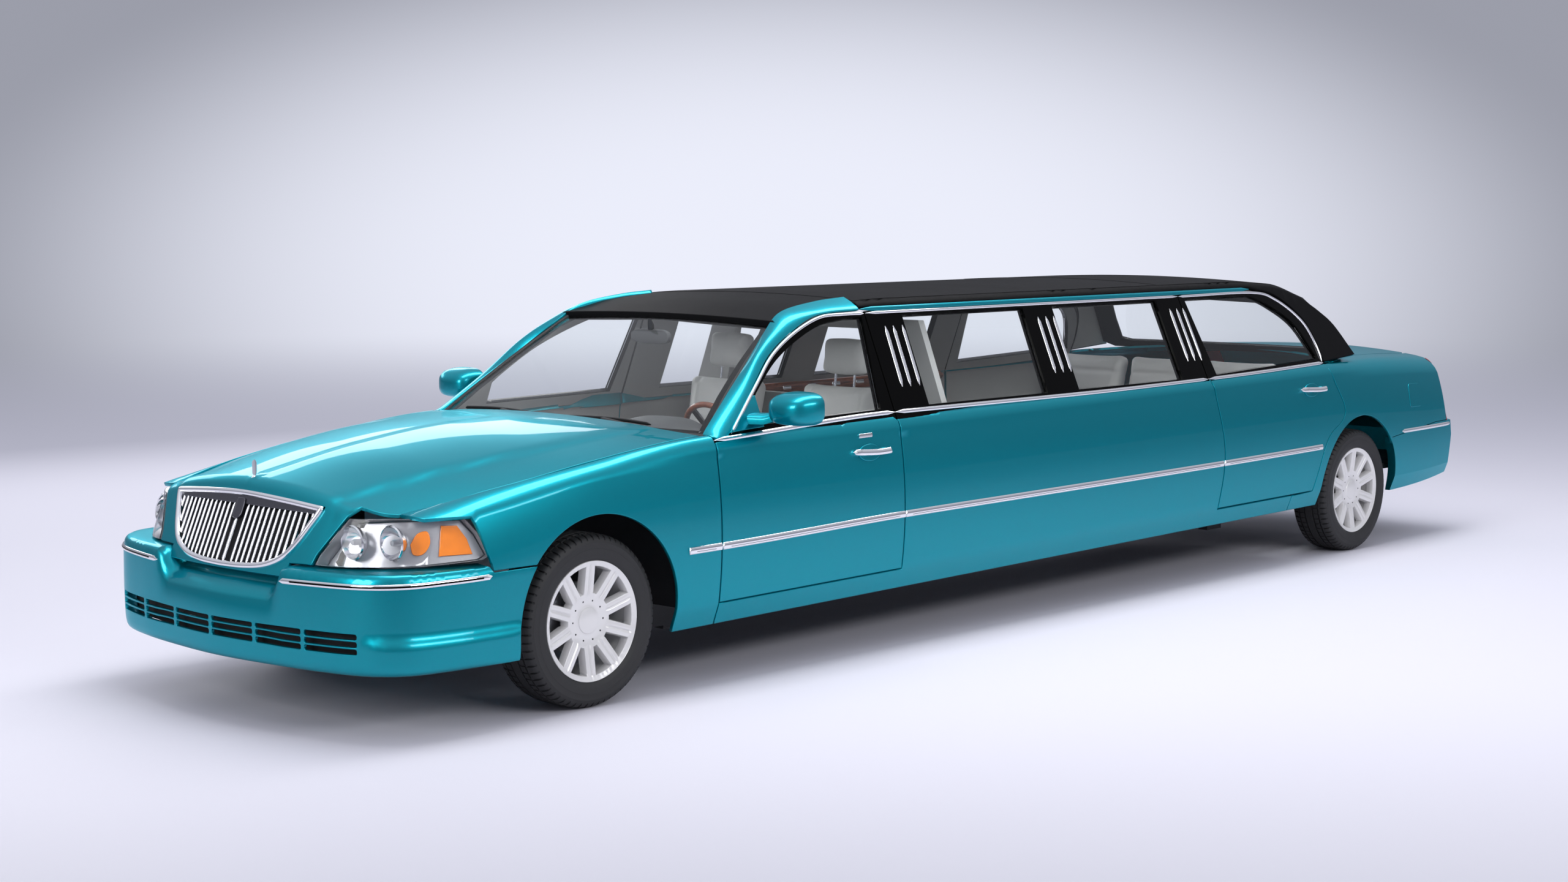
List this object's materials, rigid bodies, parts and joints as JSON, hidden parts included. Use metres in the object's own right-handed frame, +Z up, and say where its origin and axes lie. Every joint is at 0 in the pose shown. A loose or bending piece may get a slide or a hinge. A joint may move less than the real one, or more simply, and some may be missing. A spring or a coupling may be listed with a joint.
{
  "type": "stretch limousine",
  "caption": "Long-wheelbase saloon limousine with hinged doors, hood and trunk lid, steered front wheels, a partitioned salon with benches, and a vinyl-covered roof.",
  "frame": {"origin": "on the ground at the centre of the overall length and width", "axes": "+X to the nose, +Y to the car's left, +Z up"},
  "size_m": [8.5598, 2.41, 1.6213],
  "materials": {
    "body_paint": "gloss metallic teal",
    "window_glass": "clear",
    "lamp_glass": "clear over bright reflectors",
    "lamp_red": "red lens",
    "cast_metal": "rough cast",
    "tyre_rubber": "matte black",
    "wheel_alloy": "white painted",
    "roof_vinyl": "steel roof covered in black grained vinyl",
    "chassis_steel": "black underbody coating",
    "dash_plastic": "soft grey",
    "wood_trim": "polished",
    "seat_leather": "light grey"
  },
  "bodies": {
    "body": {"front_fender_left": "body_paint", "side_wall_left": "body_paint", "rear_quarter_left": "body_paint", "stretch_glass_1_left": "window_glass", "stretch_glass_2_left": "window_glass", "headlamp_left": "lamp_glass", "tail_lamp_left": "lamp_red", "front_fender_right": "body_paint", "side_wall_right": "body_paint", "rear_quarter_right": "body_paint", "stretch_glass_1_right": "window_glass", "stretch_glass_2_right": "window_glass", "headlamp_right": "lamp_glass", "tail_lamp_right": "lamp_red", "front_bumper": "body_paint", "rear_bumper": "body_paint", "windscreen_frame": "body_paint", "windscreen": "window_glass", "rear_window": "window_glass", "roof": "roof_vinyl", "floor_pan": "chassis_steel", "chassis_frame": "chassis_steel", "firewall": "chassis_steel", "rear_axle": "chassis_steel", "engine_block": "cast_metal", "dashboard": "dash_plastic", "bar_cabinet": "wood_trim", "driver_seat": "seat_leather", "passenger_seat": "seat_leather", "partition": "seat_leather", "rear_bench": "seat_leather", "facing_bench": "seat_leather"},
    "hood": {"hood": "body_paint"},
    "trunk_lid": {"trunk_lid": "body_paint"},
    "front_door_left": {"front_door_left": "body_paint", "front_door_glass_left": "window_glass"},
    "rear_door_left": {"rear_door_left": "body_paint", "rear_door_glass_left": "window_glass"},
    "steering_knuckle_left": {"steering_knuckle_left": "cast_metal"},
    "wheel_front_left": {"tyre_front_left": "tyre_rubber", "wheel_front_left": "wheel_alloy"},
    "wheel_rear_left": {"tyre_rear_left": "tyre_rubber", "wheel_rear_left": "wheel_alloy"},
    "front_door_right": {"front_door_right": "body_paint", "front_door_glass_right": "window_glass"},
    "rear_door_right": {"rear_door_right": "body_paint", "rear_door_glass_right": "window_glass"},
    "steering_knuckle_right": {"steering_knuckle_right": "cast_metal"},
    "wheel_front_right": {"tyre_front_right": "tyre_rubber", "wheel_front_right": "wheel_alloy"},
    "wheel_rear_right": {"tyre_rear_right": "tyre_rubber", "wheel_rear_right": "wheel_alloy"},
    "steering_wheel": {"steering_wheel": "wood_trim"}
  },
  "joints": [
    {"name": "hood_hinge", "type": "hinge", "parent": "body", "child": "hood", "pos_m": [2.424, 0, 1.11], "axis": [0, -1, 0], "range_deg": [0, 45]},
    {"name": "trunk_hinge", "type": "hinge", "parent": "body", "child": "trunk_lid", "pos_m": [-3.24, 0, 1.162], "axis": [0, 1, 0], "range_deg": [0, 75]},
    {"name": "front_door_left_hinge", "type": "hinge", "parent": "body", "child": "front_door_left", "pos_m": [2.405, 0.987, 0.7], "axis": [0, 0, -1], "range_deg": [0, 65]},
    {"name": "rear_door_left_hinge", "type": "hinge", "parent": "body", "child": "rear_door_left", "pos_m": [-1.4, 0.987, 0.7], "axis": [0, 0, -1], "range_deg": [0, 65]},
    {"name": "steer_left", "type": "hinge", "parent": "body", "child": "steering_knuckle_left", "pos_m": [3.09, 0.745, 0.355], "axis": [0, 0, 1], "range_deg": [-33, 33]},
    {"name": "spin_front_left", "type": "hinge", "parent": "steering_knuckle_left", "child": "wheel_front_left", "pos_m": [3.09, 0.815, 0.355], "axis": [0, 1, 0], "continuous": true},
    {"name": "spin_rear_left", "type": "hinge", "parent": "body", "child": "wheel_rear_left", "pos_m": [-2.95, 0.83, 0.355], "axis": [0, 1, 0], "continuous": true},
    {"name": "front_door_right_hinge", "type": "hinge", "parent": "body", "child": "front_door_right", "pos_m": [2.405, -0.987, 0.7], "axis": [0, 0, 1], "range_deg": [0, 65]},
    {"name": "rear_door_right_hinge", "type": "hinge", "parent": "body", "child": "rear_door_right", "pos_m": [-1.4, -0.987, 0.7], "axis": [0, 0, 1], "range_deg": [0, 65]},
    {"name": "steer_right", "type": "hinge", "parent": "body", "child": "steering_knuckle_right", "pos_m": [3.09, -0.745, 0.355], "axis": [0, 0, 1], "range_deg": [-33, 33]},
    {"name": "spin_front_right", "type": "hinge", "parent": "steering_knuckle_right", "child": "wheel_front_right", "pos_m": [3.09, -0.815, 0.355], "axis": [0, 1, 0], "continuous": true},
    {"name": "spin_rear_right", "type": "hinge", "parent": "body", "child": "wheel_rear_right", "pos_m": [-2.95, -0.83, 0.355], "axis": [0, 1, 0], "continuous": true},
    {"name": "steering_wheel_turn", "type": "hinge", "parent": "body", "child": "steering_wheel", "pos_m": [1.8, 0.37, 0.955], "axis": [-0.9061, 0, 0.423], "range_deg": [-545, 545]}
  ],
  "couplings": [
    {"joint": "steer_right", "follows": "steer_left", "ratio": 1},
    {"joint": "steering_wheel_turn", "follows": "steer_left", "ratio": 16.5}
  ]
}
